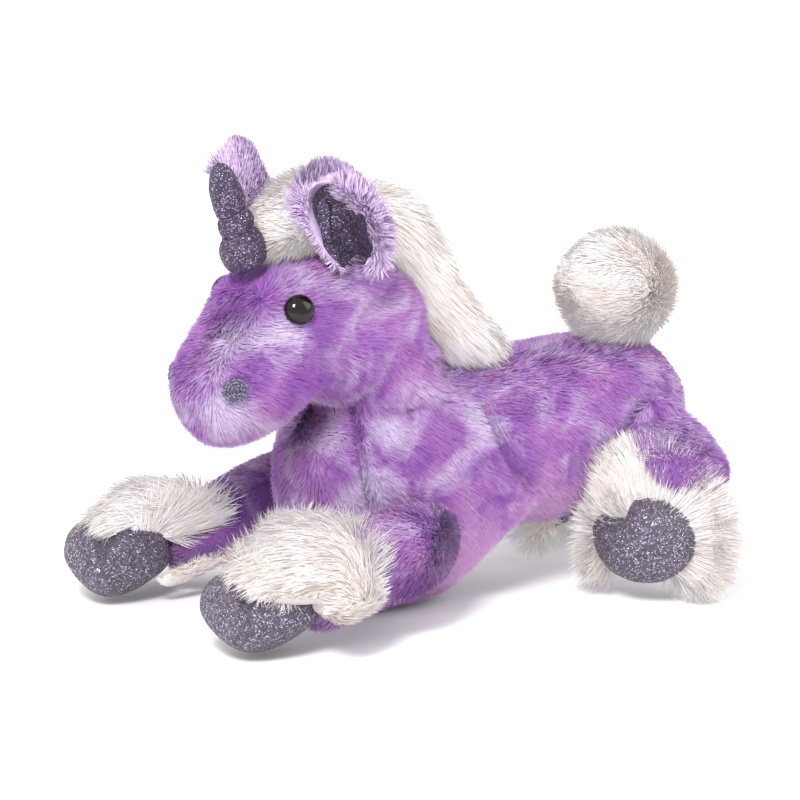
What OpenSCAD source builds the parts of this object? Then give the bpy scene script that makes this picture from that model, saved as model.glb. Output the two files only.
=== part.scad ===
// Plush unicorn lying on its belly: sewn covers over stuffing, with a turning neck,
// swinging legs and tail, and soft ears and horn that flex. Head towards -X, its left side -Y.

/* [Body] */
// Length of the trunk from chest to rump
trunk_len = 214; // [200:1:225]
// Width of the trunk at the flanks
trunk_w = 78; // [70:1:82]
// Thickness of the pile fabric
fabric_t = 1.4; // [1:0.1:2]
// Clearance between a cover and its stuffing
lining_gap = 0.2; // [0.1:0.05:0.4]

/* [Head] */
// Yaw of the head towards its left side
head_yaw = 15; // [0:1:20]
// Width of the head across the cheeks
head_w = 67; // [60:1:72]
// Diameter of an eye dome
eye_d = 14; // [11:0.5:15]
// Diameter of a nostril rosette
nostril_d = 12; // [9:0.5:13]

/* [Horn and ears] */
// Length of the horn
horn_len = 52; // [45:1:62]
// Diameter of the horn's lowest bulb
horn_d = 20; // [16:0.5:21]
// Height of an ear
ear_h = 43; // [35:1:46]
// Width of an ear
ear_w = 31; // [24:1:34]

/* [Legs] */
// Diameter of a leg
leg_d = 43; // [36:1:44]
// Width of a hoof
hoof_w = 47; // [40:1:48]
// Height of a hoof
hoof_h = 42; // [36:1:44]
// Gap between a leg and the trunk
joint_gap = 0.6; // [0.4:0.1:1.5]

/* [Tail and mane] */
// Diameter of the tail ball
tail_d = 48; // [44:1:54]
// Width of the mane strip
mane_w = 30; // [22:1:34]

/* [Hidden] */
SIDES = ["left", "right"];
LEGS = ["foreleg_left", "foreleg_right", "hindleg_left", "hindleg_right"];
LEG_PARTS = ["cover", "stuffing", "fetlock_fur", "hoof_upper", "hoof_sole", "hoof_stuffing"];

purple = "#9b5fc0";
pile_white = "#efe6e6";
glitter = "#857b8e";
dark_glitter = "#5a4c66";
filling = "#f4f1ec";

// Height of the flat cut where the neck turns on the trunk, and the half gap there
neck_z = 117;
neck_gap = 0.4;
centre_shift = 4;
head_place = [-43.5, -5, 0];

// ---- smooth curves through hand-picked stations ----
function clampi(i, n) = min(max(i, 0), n - 1);
function pick(t, i) = t[clampi(i, len(t))];
function cubic(a, b, c, d, f) =
    0.5 * (2 * b + (c - a) * f + (2 * a - 5 * b + 4 * c - d) * f * f + (3 * b - a - 3 * c + d) * f * f * f);
function along(t, u) =
    let (i = min(floor(u), len(t) - 2))
    cubic(pick(t, i - 1), pick(t, i), pick(t, i + 1), pick(t, i + 2), u - i);

// ---- closed meshes ----
// A grid of points, rows by columns, wound so that its normals face out
function grid_faces(rows, cols, wrap, first = 0, flip = false) = [
    for (r = [0:rows - 2], c = [0:(wrap ? cols - 1 : cols - 2)])
        let (
            a = first + r * cols + c,
            b = first + r * cols + (c + 1) % cols,
            d = first + (r + 1) * cols + c,
            e = first + (r + 1) * cols + (c + 1) % cols
        )
        each flip ? [[a, b, d], [b, e, d]] : [[a, d, b], [b, d, e]]
];
function flat(rows) = [for (r = rows) each r];
function middle(ring) = [for (k = [0:2]) let (s = [for (p = ring) p[k]]) sum(s) / len(s)];
function sum(v, i = 0) = i < len(v) ? v[i] + sum(v, i + 1) : 0;

// A closed body through rings of points, with a fan at each end
module loft(rings) {
    n = len(rings[0]);
    m = len(rings);
    tips = [middle(rings[0]), middle(rings[m - 1])];
    polyhedron(
        points = concat(flat(rings), tips),
        faces = concat(
            grid_faces(m, n, true),
            [for (c = [0:n - 1]) [m * n, c, (c + 1) % n]],
            [for (c = [0:n - 1]) [m * n + 1, (m - 1) * n + (c + 1) % n, (m - 1) * n + c]]
        ),
        convexity = 6
    );
}

// A sheet with a thickness, between two grids of the same size
module sheet(outer, inner, wrap = false) {
    m = len(outer);
    n = len(outer[0]);
    k = m * n;
    last = (m - 1) * n;
    steps = wrap ? n - 1 : n - 2;
    ends = [for (c = [0:steps]) let (d = (c + 1) % n) each [
        [c, d, k + c], [d, k + d, k + c],
        [last + d, last + c, k + last + c], [last + d, k + last + c, k + last + d]
    ]];
    sides = wrap ? [] : [for (r = [0:m - 2]) let (a = r * n, b = a + n, e = a + n - 1, f = e + n) each [
        [b, a, k + b], [a, k + a, k + b],
        [e, f, k + e], [f, k + f, k + e]
    ]];
    polyhedron(
        points = concat(flat(outer), flat(inner)),
        faces = concat(
            grid_faces(m, n, wrap),
            grid_faces(m, n, wrap, k, true),
            ends,
            sides
        ),
        convexity = 8
    );
}

// ---- trunk: stations [x, low z, high z, half width] from chest to rump ----
function trunk_stations() = let (k = trunk_len / 214, w = trunk_w / 78) [
    [-62 * k, 62, 82, 8 * w],
    [-58 * k, 44, 93, 21 * w],
    [-50 * k, 22, 101, 29.5 * w],
    [-34 * k, -1, 112, 35.5 * w],
    [-10 * k, -6, 117.5, 38 * w],
    [16 * k, -1, 117.5, 38.5 * w],
    [42 * k, 19, 117, 38.5 * w],
    [66 * k, 37, 123, 38 * w],
    [88 * k, 47, 127, 36 * w],
    [110 * k, 50, 125, 34 * w],
    [132 * k, 54, 114, 28 * w],
    [146 * k, 63, 99, 18 * w],
    [150 * k, 71, 90, 8 * w]
];
trunk_rings = 22;

// One point of the trunk's skin, angle 0 at the top and 90 on the left side
function trunk_point(st, a, inset) =
    let (
        mid = (st[1] + st[2]) / 2,
        w = st[3] - inset,
        h = (st[2] - st[1]) / 2 - inset,
        z = mid + h * cos(a)
    )
    [st[0] - centre_shift, -w * sin(a), min(max(z, inset), neck_z - neck_gap - inset)];

function trunk_grid(angles, inset) = [
    for (k = [0:trunk_rings])
        let (
            st = along(trunk_stations(), k * 12 / trunk_rings),
            pull = inset * (1 - 2 * k / trunk_rings)
        )
        [for (a = angles) trunk_point([st[0] + pull, st[1], st[2], st[3]], a, inset)]
];

module trunk_panel(from, to, steps) {
    angles = [for (k = [0:steps]) from + (to - from) * k / steps];
    sheet(trunk_grid(angles, 0), trunk_grid(angles, fabric_t));
}

belly_edge = 138;
module flank_left() { color(purple) trunk_panel(0, belly_edge, 10); }
module flank_right() { color(purple) trunk_panel(360 - belly_edge, 360, 10); }
module belly() { color(purple) trunk_panel(belly_edge, 360 - belly_edge, 6); }
module trunk_stuffing() {
    color(filling) loft(trunk_grid([for (k = [0:23]) 15 * k], fabric_t + lining_gap));
}

// ---- neck: stations [z, front x, back x, half width], rising out of the trunk ----
function neck_stations() = [
    [117, -50, 30, 34],
    [123, -48, 20, 32],
    [130, -46, 11, 30],
    [138, -44, 5, 28],
    [144.5, -43, 0, 26]
];
neck_rings = 6;
neck_cols = 20;

function neck_grid(angles, inset) = [
    for (k = [0:neck_rings])
        let (
            st = along(neck_stations(), k * 4 / neck_rings),
            lift = k == 0 ? neck_gap + inset : (k == neck_rings ? -inset : 0),
            mid = (st[1] + st[2]) / 2,
            half = (st[2] - st[1]) / 2 - inset,
            w = st[3] - inset
        )
        [for (a = angles) [mid + half * cos(a) - centre_shift, -w * sin(a), st[0] + lift]]
];

module neck_panel(from, to) {
    angles = [for (k = [0:neck_cols / 2]) from + (to - from) * k / (neck_cols / 2)];
    outer = neck_grid(angles, 0);
    inner = neck_grid(angles, fabric_t);
    level = [for (r = [0:neck_rings]) [for (c = [0:neck_cols / 2])
        [inner[r][c][0], inner[r][c][1], outer[r][c][2]]]];
    sheet(outer, level);
}
module neck_left() { color(purple) neck_panel(180, 0); }
module neck_right() { color(purple) neck_panel(360, 180); }
module neck_stuffing() {
    color(filling) loft(neck_grid([for (k = [0:neck_cols - 1]) -360 * k / neck_cols], fabric_t + lining_gap));
}

// ---- head: stations [forward, low z, high z, half width] in the head's own heading ----
function head_stations() = let (w = head_w / 67) [
    [-36, 150, 162, 8 * w],
    [-32, 145.5, 169, 20 * w],
    [-21, 145.5, 176, 28.5 * w],
    [-7, 145.5, 179, 32.5 * w],
    [5, 142, 180, 33.5 * w],
    [14, 112, 180, 33.5 * w],
    [27, 99, 178, 33 * w],
    [41, 94, 172, 31 * w],
    [54, 92, 164, 28 * w],
    [65, 93, 153, 25 * w],
    [73, 98, 143, 20.5 * w],
    [79, 106, 134, 14 * w],
    [81.5, 114, 127, 7 * w]
];
head_rings = 22;

module at_head() {
    translate([head_place[0] - centre_shift, head_place[1], 0]) rotate([0, 0, head_yaw]) children();
}

function head_point(st, a, inset) =
    let (mid = (st[1] + st[2]) / 2, w = st[3] - inset, h = (st[2] - st[1]) / 2 - inset)
    [-st[0], -w * sin(a), mid + h * cos(a)];
function head_grid(angles, inset) = [
    for (k = [0:head_rings])
        let (st = along(head_stations(), k * 12 / head_rings), pull = inset * (1 - 2 * k / head_rings))
        [for (a = angles) head_point([st[0] + pull, st[1], st[2], st[3]], a, inset)]
];
module head_panel(from, to, steps) {
    angles = [for (k = [0:steps]) to + (from - to) * k / steps];
    at_head() sheet(head_grid(angles, 0), head_grid(angles, fabric_t));
}

forehead_edge = 34;
chin_edge = 146;
module cheek_left() { color(purple) head_panel(forehead_edge, chin_edge, 7); }
module cheek_right() { color(purple) head_panel(360 - chin_edge, 360 - forehead_edge, 7); }
module forehead() { color(purple) head_panel(-forehead_edge, forehead_edge, 5); }
module chin() { color(purple) head_panel(chin_edge, 360 - chin_edge, 5); }
module head_stuffing() {
    color(filling) at_head() loft(head_grid([for (k = [0:23]) -15 * k], fabric_t + lining_gap));
}

// Places [x, y, z] in the head's own heading, and the way they face [azimuth from the side, rise]
eye_at = [-34.6, 28.6, 157];
eye_turn = 16;
eye_rise = 20;
nostril_at = [-67, 21.5, 123];
nostril_turn = 34;

module on_side(sign, at, turn, rise) {
    at_head() translate([at[0], -sign * at[1], at[2]])
        rotate([0, 0, -sign * turn]) rotate([sign * (90 - rise), 0, 0]) children();
}

// A glossy dome with a shank through the cover and a lock washer inside
shank_d = 4;
shank_len = 13;
module eye(sign) {
    dome_h = eye_d * 0.36;
    ball_r = (pow(eye_d / 2, 2) + pow(dome_h, 2)) / (2 * dome_h);
    color("#1c1210") on_side(sign, eye_at, eye_turn, eye_rise) {
        rotate_extrude($fn = 48) intersection() {
            translate([0, dome_h - ball_r]) circle(r = ball_r, $fn = 96);
            square([eye_d, eye_d]);
        }
        translate([0, 0, -shank_len]) cylinder(d = shank_d, h = shank_len + 1, $fn = 32);
        translate([0, 0, -shank_len + 2]) cylinder(d = eye_d * 0.86, h = 1.6, $fn = 40);
    }
}
module eye_left() { eye(1); }
module eye_right() { eye(-1); }

module nostril(sign) {
    color("#8d8795") on_side(sign, nostril_at, nostril_turn, 4)
        rotate_extrude($fn = 40) union() {
            square([nostril_d / 2 - 0.9, 1.6]);
            translate([nostril_d / 2 - 0.9, 0.8]) circle(r = 0.8, $fn = 24);
        }
}
module nostril_left() { nostril(1); }
module nostril_right() { nostril(-1); }

// ---- mane: stations [x, z, half thickness, half width] down the crest of the neck ----
function mane_stations() = let (w = mane_w / 30) [
    [-29, 190, 4, 9 * w],
    [-19, 189, 9, 13 * w],
    [-7, 183, 11, 15 * w],
    [3, 168, 11, 15 * w],
    [11, 153, 10.5, 14.5 * w],
    [20, 140, 10, 14 * w],
    [31, 129, 8, 12 * w],
    [43, 122.5, 4, 6 * w]
];
mane_rings = 14;
mane_cols = 14;
module mane() {
    stations = mane_stations();
    last = len(stations) - 1;
    rings = [for (k = [0:mane_rings])
        let (
            u = k * last / mane_rings,
            st = along(stations, u),
            ahead = along(stations, min(u + 0.1, last)),
            behind = along(stations, max(u - 0.1, 0)),
            run = unit([ahead[0] - behind[0], ahead[1] - behind[1]])
        )
        [for (c = [0:mane_cols - 1])
            let (
                a = -360 * c / mane_cols,
                off = st[2] * cos(a),
                x = st[0] - run[1] * off,
                z = st[1] + run[0] * off
            )
            [x - centre_shift, st[3] * sin(a), max(z, neck_z + neck_gap)]]];
    color(pile_white) loft(rings);
}

// Fluff on the poll between the ears: stations [forward, z, half height, half width]
function forelock_stations() = [
    [-9, 190, 5, 10],
    [0, 193, 10.5, 15],
    [8, 194, 12, 16],
    [20, 190, 9, 13],
    [30, 185.5, 4, 7]
];
module forelock() {
    rings = [for (k = [0:8])
        let (st = along(forelock_stations(), k / 2))
        [for (c = [0:13])
            let (a = -360 * c / 14)
            [-st[0], st[3] * sin(a), st[1] + st[2] * cos(a)]]];
    color(pile_white) at_head() loft([for (k = [8:-1:0]) rings[k]]);
}

// ---- horn: stuffed bulbs tied with thread, on the forehead ----
horn_at = [-42, 0, 173];
horn_lean = 19;
horn_cloth_t = 0.6;
// Rows [height share, radius share] of the bulbs and the tied waists between them
function horn_outline() = [
    [0, 0.3], [0.06, 0.78], [0.16, 1], [0.27, 0.9], [0.34, 0.68],
    [0.39, 0.76], [0.44, 0.8], [0.49, 0.74], [0.53, 0.6],
    [0.6, 0.72], [0.72, 0.77], [0.86, 0.64], [0.95, 0.4], [1, 0.14]
];
function horn_profile(inset) = [
    for (k = [0:26])
        let (p = along(horn_outline(), k / 2))
        [max(p[1] * horn_d / 2 - inset, 0.5), inset + p[0] * (horn_len - 2 * inset)]
];
module at_horn() {
    at_head() translate(horn_at) rotate([0, -horn_lean, 0]) children();
}
module horn_cover() {
    outer = horn_profile(0);
    inner = horn_profile(horn_cloth_t);
    color(dark_glitter) at_horn() difference() {
        rotate_extrude($fn = 40) polygon(concat([[0, 0]], outer, [[0, horn_len]]));
        rotate_extrude($fn = 40)
            polygon(concat([[0, horn_cloth_t]], inner, [[0, horn_len - horn_cloth_t]]));
    }
}
module horn_stuffing() {
    inset = horn_cloth_t + lining_gap;
    color(filling) at_horn()
        rotate_extrude($fn = 40)
            polygon(concat([[0, inset]], horn_profile(inset), [[0, horn_len - inset]]));
}
thread_d = 0.9;
module horn_thread() {
    color("#4a3d57") at_horn()
        for (waist = [[0.34, 0.68], [0.53, 0.6]])
            translate([0, 0, waist[0] * horn_len]) rotate_extrude($fn = 40)
                translate([waist[1] * horn_d / 2 + thread_d / 2 + 0.3, 0]) circle(d = thread_d, $fn = 20);
}

// ---- ears: a cupped pile leaf with a glitter lining, standing on the poll ----
ear_at = [-3, 25, 175.6];
ear_turn = 42;
ear_splay = 13;
ear_lean = 14;
ear_fur_t = 3;
ear_lining_t = 1;
ear_rows = 9;
ear_cols = 8;
function ear_half_width(u) =
    ear_w / 2 * (0.62 + 0.38 * sin(min(u, 0.5) * 180)) * sqrt(max(1 - pow(max(u - 0.45, 0) / 0.58, 2), 0.01));
// A point on the ear at height share u, across share v, and depth behind its hollow face
function ear_point(u, v, depth, shrink) =
    let (w = ear_half_width(u) * shrink, cup = 13 * (1 - u * 0.55) * v * v)
    [-cup + depth * (1 - 0.25 * v * v), w * v, 0.8 + (1 - shrink) * 9 + u * (ear_h - 1 - (1 - shrink) * 18)];
function ear_grid(depth, shrink) = [
    for (r = [0:ear_rows]) [for (c = [0:ear_cols]) ear_point(r / ear_rows, 2 * c / ear_cols - 1, depth, shrink)]
];
module at_ear(sign) {
    at_head() translate([ear_at[0], -sign * ear_at[1], ear_at[2]])
        rotate([sign * ear_splay, -ear_lean, 0]) rotate([0, 0, sign * ear_turn]) children();
}
module ear_leaf(sign) { color(purple) at_ear(sign) sheet(ear_grid(ear_fur_t, 1), ear_grid(0, 1)); }
module ear_lining(sign) {
    color(dark_glitter) at_ear(sign)
        sheet(ear_grid(-0.1, 0.86), ear_grid(-0.1 - ear_lining_t, 0.86));
}
module ear_left() { ear_leaf(1); }
module ear_lining_left() { ear_lining(1); }
module ear_right() { ear_leaf(-1); }
module ear_lining_right() { ear_lining(-1); }

// ---- tail: a ball of long pile over a stuffed core, standing on the rump ----
tail_at = [121, 0, 149];
tail_core_d = 28;
tail_neck_d = 12;
// Height of the tail's small flat foot, clear of the rump
tail_foot_z = 127;
module tail_solid(d, neck_d, low) {
    translate([tail_at[0] - centre_shift, tail_at[1], tail_at[2]]) rotate_extrude($fn = 48)
        intersection() {
            union() {
                circle(d = d, $fn = 96);
                translate([0, -d]) square([neck_d / 2, d]);
            }
            translate([0, low - tail_at[2]]) square([d, 2 * d]);
        }
}
module tail_fur() {
    color(pile_white) difference() {
        tail_solid(tail_d, tail_neck_d, tail_foot_z);
        tail_solid(tail_core_d, tail_neck_d, tail_foot_z - 1);
    }
}
module tail_stuffing() {
    color(filling) tail_solid(tail_core_d - 2 * lining_gap, tail_neck_d - 2 * lining_gap, tail_foot_z);
}

// ---- legs ----
// Stations [x, distance out, z, half width, half height] from root to ankle
leg_y = 59;
root_y = trunk_w / 2 + joint_gap;
hip_y = root_y - 4;
function fore_path() = [[-5, leg_y, 45, 8, 9], [-10, leg_y, 44.5, 15, 16], [-21, leg_y, 43, 19, 21],
    [-38, leg_y, 38, 19, 21], [-55, leg_y, 31, 18, 19],
    [-70, leg_y, 25.5, 16.5, 17], [-78, leg_y, 23, 15, 15.5]];
function hind_path() = [[108, 46, 90, 8, 9], [112, 48, 86, 14, 15], [120, 51, 75, 17, 19.5],
    [126, 53, 63, 18, 20], [129.5, 53, 51, 17.5, 19], [130, 52, 40, 16, 17], [127.5, 51, 34, 14, 15]];
// Hoof centre [x, distance out, z], its heading from straight ahead, and its length
fore_hoof = [-103, leg_y, hoof_h / 2, 0, 46];
hind_hoof = [104.5, 53, hoof_h / 2 + 8, 46, 32];
far_reach = 16;

function leg_sign(name) = name == "foreleg_left" || name == "hindleg_left" ? 1 : -1;
function is_fore(name) = name == "foreleg_left" || name == "foreleg_right";
// The right foreleg lies a little further forward than the left
function reach(name) = name == "foreleg_right" ? -far_reach : 0;
function inner_limit(name) = is_fore(name) ? root_y : hip_y;
function hoof_limit(name) = is_fore(name) ? root_y - 12 : hip_y;
// A left limb's rings run the other way round, so they are reversed to face out
function facing(name, rings) =
    leg_sign(name) > 0 ? rings : [for (r = rings) [for (c = [len(r) - 1:-1:0]) r[c]]];
function unit(v) = v / norm(v);

leg_cols = 18;
leg_rings = 12;
function leg_grid(name, inset) =
    let (path = is_fore(name) ? fore_path() : hind_path(), fat = leg_d / 43, last = len(path) - 1)
    [for (k = [0:leg_rings])
        let (
            u = k * last / leg_rings,
            st = along(path, u),
            q = along(path, min(u + 0.1, last)),
            p = along(path, max(u - 0.1, 0)),
            run = unit([q[0] - p[0], q[2] - p[2]]),
            pull = inset * (1 - 2 * k / leg_rings),
            w = st[3] * fat - inset,
            h = st[4] * fat - inset
        )
        [for (c = [0:leg_cols - 1])
            let (
                a = 360 * c / leg_cols,
                x = st[0] + reach(name) * u / last + pull * run[0] - run[1] * h * cos(a),
                z = st[2] + pull * run[1] + run[0] * h * cos(a),
                out = max(st[1] + w * sin(a), inner_limit(name) + inset)
            )
            [x - centre_shift, -leg_sign(name) * out, max(z, inset)]]];
module leg_cover(name) {
    color(purple) sheet(facing(name, leg_grid(name, 0)), facing(name, leg_grid(name, fabric_t)), true);
}
module leg_stuffing(name) { color(filling) loft(facing(name, leg_grid(name, fabric_t + lining_gap))); }

// A point [forward, out, up] from the hoof's centre, set in place and kept clear of the trunk and the floor
function hoof_spot(name, p, inset) =
    let (h = is_fore(name) ? fore_hoof : hind_hoof, x = p[0] * cos(h[3]) + p[1] * sin(h[3]),
        out = p[0] * sin(h[3]) - p[1] * cos(h[3]))
    [h[0] - x + reach(name) - centre_shift,
        -leg_sign(name) * max(h[1] + out, hoof_limit(name) + inset), max(h[2] + p[2], inset)];

// Rows [forward, half width, half height] of a puffy hoof, as shares of its sizes
function hoof_rows() = [[-0.5, 0.6, 0.66], [-0.36, 0.84, 0.84], [-0.12, 0.98, 0.98], [0.14, 1, 1],
    [0.34, 0.86, 0.86], [0.45, 0.6, 0.62], [0.5, 0.26, 0.3]];
hoof_steps = 9;
hoof_cloth_t = 0.8;
function hoof_grid(name, angles, inset) =
    let (length = (is_fore(name) ? fore_hoof : hind_hoof)[4])
    facing(name, [for (k = [0:hoof_steps])
        let (
            st = along(hoof_rows(), k * 6 / hoof_steps),
            pull = inset * (1 - 2 * k / hoof_steps),
            w = hoof_w / 2 * st[1] - inset,
            h = hoof_h / 2 * st[2] - inset
        )
        [for (a = angles) hoof_spot(name, [st[0] * length + pull, w * sin(a), h * cos(a)], inset)]]);
sole_edge = 118;
module hoof_panel(name, from, to, steps) {
    angles = [for (k = [0:steps]) from + (to - from) * k / steps];
    color(glitter) sheet(hoof_grid(name, angles, 0), hoof_grid(name, angles, hoof_cloth_t));
}
module hoof_upper(name) { hoof_panel(name, -sole_edge, sole_edge, 11); }
module hoof_sole(name) { hoof_panel(name, sole_edge, 360 - sole_edge, 6); }
module hoof_stuffing(name) {
    color(filling) loft(hoof_grid(name, [for (k = [0:17]) 20 * k], hoof_cloth_t + lining_gap));
}

// A flared collar of long pile round the ankle, laid over the back of the hoof
// Rows [forward of the hoof's back, outer radius, inner radius, rise of its centre]
fore_cuff = [[-26, 23, 21.5, 9], [-12, 32, 20.5, 6], [0, 36, 20.5, 4], [12, 32, 24, 2], [24, 26, 24.6, 0]];
hind_cuff = [[0, 30, 22.4, 2], [4, 35, 23, 2], [8, 36, 24, 1], [12, 32, 24.8, 1], [16, 27, 25.4, 0]];
cuff_edge = 128;
cuff_steps = 6;
cuff_cols = 14;
function cuff_grid(name, wall) =
    let (rows = is_fore(name) ? fore_cuff : hind_cuff, length = (is_fore(name) ? fore_hoof : hind_hoof)[4])
    facing(name, [for (k = [0:cuff_steps])
        let (st = along(rows, k * 4 / cuff_steps), r = st[wall])
        [for (c = [0:cuff_cols])
            let (a = cuff_edge * (2 * c / cuff_cols - 1),
                spot = hoof_spot(name, [st[0] - length / 2, r * sin(a), r * cos(a) + st[3]], 0))
            [spot[0], -leg_sign(name) * max(abs(spot[1]), inner_limit(name) + (wall - 1) * 0.6), spot[2]]]]);
module fetlock_fur(name) { color(pile_white) sheet(cuff_grid(name, 1), cuff_grid(name, 2)); }

module leg_part(name, piece) {
    if (piece == "cover") leg_cover(name);
    if (piece == "stuffing") leg_stuffing(name);
    if (piece == "fetlock_fur") fetlock_fur(name);
    if (piece == "hoof_upper") hoof_upper(name);
    if (piece == "hoof_sole") hoof_sole(name);
    if (piece == "hoof_stuffing") hoof_stuffing(name);
}

flank_left();
flank_right();
belly();
trunk_stuffing();
neck_left();
neck_right();
neck_stuffing();
cheek_left();
cheek_right();
forehead();
chin();
head_stuffing();
eye_left();
eye_right();
nostril_left();
nostril_right();
mane();
forelock();
horn_cover();
horn_stuffing();
horn_thread();
ear_left();
ear_lining_left();
ear_right();
ear_lining_right();
tail_fur();
tail_stuffing();
for (l = LEGS) for (p = LEG_PARTS) leg_part(l, p);
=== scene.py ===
import math
import bpy
import numpy as np
from mathutils import Matrix, Vector


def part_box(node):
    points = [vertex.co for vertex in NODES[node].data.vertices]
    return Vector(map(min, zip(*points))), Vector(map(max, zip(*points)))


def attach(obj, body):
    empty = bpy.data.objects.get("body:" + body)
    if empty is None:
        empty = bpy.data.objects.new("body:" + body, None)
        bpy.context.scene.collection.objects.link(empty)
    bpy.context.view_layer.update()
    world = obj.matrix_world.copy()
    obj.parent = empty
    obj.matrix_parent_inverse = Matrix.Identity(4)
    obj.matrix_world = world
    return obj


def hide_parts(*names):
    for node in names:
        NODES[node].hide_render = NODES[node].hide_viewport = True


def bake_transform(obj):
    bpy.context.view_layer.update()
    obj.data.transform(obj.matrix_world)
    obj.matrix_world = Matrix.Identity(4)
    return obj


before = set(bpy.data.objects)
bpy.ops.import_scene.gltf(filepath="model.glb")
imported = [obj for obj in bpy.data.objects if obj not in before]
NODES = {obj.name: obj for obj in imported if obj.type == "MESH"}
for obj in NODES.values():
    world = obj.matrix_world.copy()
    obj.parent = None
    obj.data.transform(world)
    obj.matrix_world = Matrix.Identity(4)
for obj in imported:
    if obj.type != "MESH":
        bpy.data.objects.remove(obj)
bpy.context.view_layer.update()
MM = 0.001
LEGS = ("foreleg_left", "foreleg_right", "hindleg_left", "hindleg_right")


# ---------------------------------------------------------------- mesh helpers
def mm(*values):
    return np.array(values, float) * MM


def unit(v):
    return v / np.maximum(np.linalg.norm(v, axis=-1, keepdims=True), 1e-9)


def add_object(name, data):
    obj = bpy.data.objects.new(name, data)
    bpy.context.scene.collection.objects.link(obj)
    return obj


def points_of(mesh):
    co = np.empty(len(mesh.vertices) * 3)
    mesh.vertices.foreach_get("co", co)
    return co.reshape(-1, 3)


def normals_of(mesh):
    normals = np.empty(len(mesh.vertices) * 3)
    mesh.vertices.foreach_get("normal", normals)
    return normals.reshape(-1, 3)


def set_points(mesh, co):
    mesh.vertices.foreach_set("co", np.asarray(co, np.float32).ravel())
    mesh.update()


def settle(obj):
    """Makes the object's modifiers part of its mesh."""
    graph = bpy.context.evaluated_depsgraph_get()
    mesh = bpy.data.meshes.new_from_object(obj.evaluated_get(graph))
    obj.modifiers.clear()
    obj.data = mesh
    for polygon in mesh.polygons:
        polygon.use_smooth = True
    return obj


def cut_from(name, *nodes):
    """A new piece with the outline of these CAD solids."""
    verts, faces = [], []
    for node in nodes:
        first = len(verts)
        verts += [tuple(v.co) for v in NODES[node].data.vertices]
        faces += [[first + i for i in p.vertices] for p in NODES[node].data.polygons]
    mesh = bpy.data.meshes.new(name)
    mesh.from_pydata(verts, [], faces)
    return add_object(name, mesh)


def add_puff(obj, centre, radii):
    """Adds a rounded swelling to a piece, to be merged by an even mesh."""
    rings, cols = 12, 20
    verts = [tuple(v.co) for v in obj.data.vertices]
    faces = [tuple(p.vertices) for p in obj.data.polygons]
    first = len(verts)
    for r in range(rings + 1):
        for c in range(cols):
            lift, turn = math.pi * (r + 0.02) / (rings + 0.04), 2 * math.pi * c / cols
            spot = np.array([math.sin(lift) * math.cos(turn), math.sin(lift) * math.sin(turn), math.cos(lift)])
            verts.append(tuple(centre + radii * spot))
    for r in range(rings):
        for c in range(cols):
            a, b = first + r * cols + c, first + r * cols + (c + 1) % cols
            faces.append((a, a + cols, b + cols, b))
    faces.append(tuple(first + c for c in range(cols)))
    faces.append(tuple(first + rings * cols + c for c in reversed(range(cols))))
    mesh = bpy.data.meshes.new(obj.name)
    mesh.from_pydata(verts, [], faces)
    obj.data = mesh


def refine(obj, voxel=0.0, relax=0, levels=0):
    """Remeshes a piece evenly, or joins its edges when voxel is 0, then eases and divides it."""
    if voxel:
        even = obj.modifiers.new("Even mesh", "REMESH")
        even.mode = "VOXEL"
        even.voxel_size = voxel
    else:
        welded = obj.modifiers.new("Joined edges", "WELD")
        welded.merge_threshold = 0.02 * MM
    if relax:
        ease = obj.modifiers.new("Ease", "SMOOTH")
        ease.iterations = relax
        ease.factor = 0.5
    if levels:
        finer = obj.modifiers.new("Finer", "SUBSURF")
        finer.levels = levels
    return settle(obj)


STUFF_FRAMES, STUFF_PRESSURE = 20, 4.0


def stuff(skins, most):
    """Swells closed skins like stuffed fabric. No point moves further than most."""
    scene = bpy.context.scene
    starts = [points_of(skin.data) for skin in skins]
    for skin in skins:
        cloth = skin.modifiers.new("Stuffing", "CLOTH")
        cloth.settings.use_pressure = True
        cloth.settings.uniform_pressure_force = STUFF_PRESSURE
        cloth.settings.effector_weights.gravity = 0
        cloth.point_cache.frame_start = 1
        cloth.point_cache.frame_end = STUFF_FRAMES
    for step in range(1, STUFF_FRAMES + 1):
        scene.frame_set(step)
    graph = bpy.context.evaluated_depsgraph_get()
    ends = [points_of(skin.evaluated_get(graph).data).copy() for skin in skins]
    scene.frame_set(1)
    for skin, start, end in zip(skins, starts, ends):
        skin.modifiers.clear()
        move = end - start
        far = np.linalg.norm(move, axis=1, keepdims=True)
        set_points(skin.data, start + move * np.minimum(1, most / np.maximum(far, 1e-9)))
    for skin in skins:
        refine(skin, relax=1, levels=1)


def near_line(at, line):
    """Distance of each point from a line through the given stations."""
    best = np.full(len(at), 9.0)
    for a, b in zip(line[:-1], line[1:]):
        run = b - a
        t = np.clip(((at - a) @ run) / (run @ run), 0, 1)
        best = np.minimum(best, np.linalg.norm(at - (a + t[:, None] * run), axis=1))
    return best


def crease_at(at, lines):
    """1 on a seam or crease and 0 away from it."""
    deep = np.zeros(len(at))
    for line, width in lines:
        deep = np.maximum(deep, np.exp(-((near_line(at, line) / width) ** 2)))
    return deep


def sew(obj, lines, depth):
    """Pulls the skin in along its seams."""
    co = points_of(obj.data)
    set_points(obj.data, co - normals_of(obj.data) * (crease_at(co, lines) * depth)[:, None])
    return obj


def dent(obj, centre, radius, depth):
    """Presses a round hollow into a skin, such as under an eye."""
    co = points_of(obj.data)
    near = np.exp(-(np.linalg.norm(co - np.array(centre), axis=1) / radius) ** 2)
    set_points(obj.data, co - normals_of(obj.data) * (near * depth)[:, None])


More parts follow.
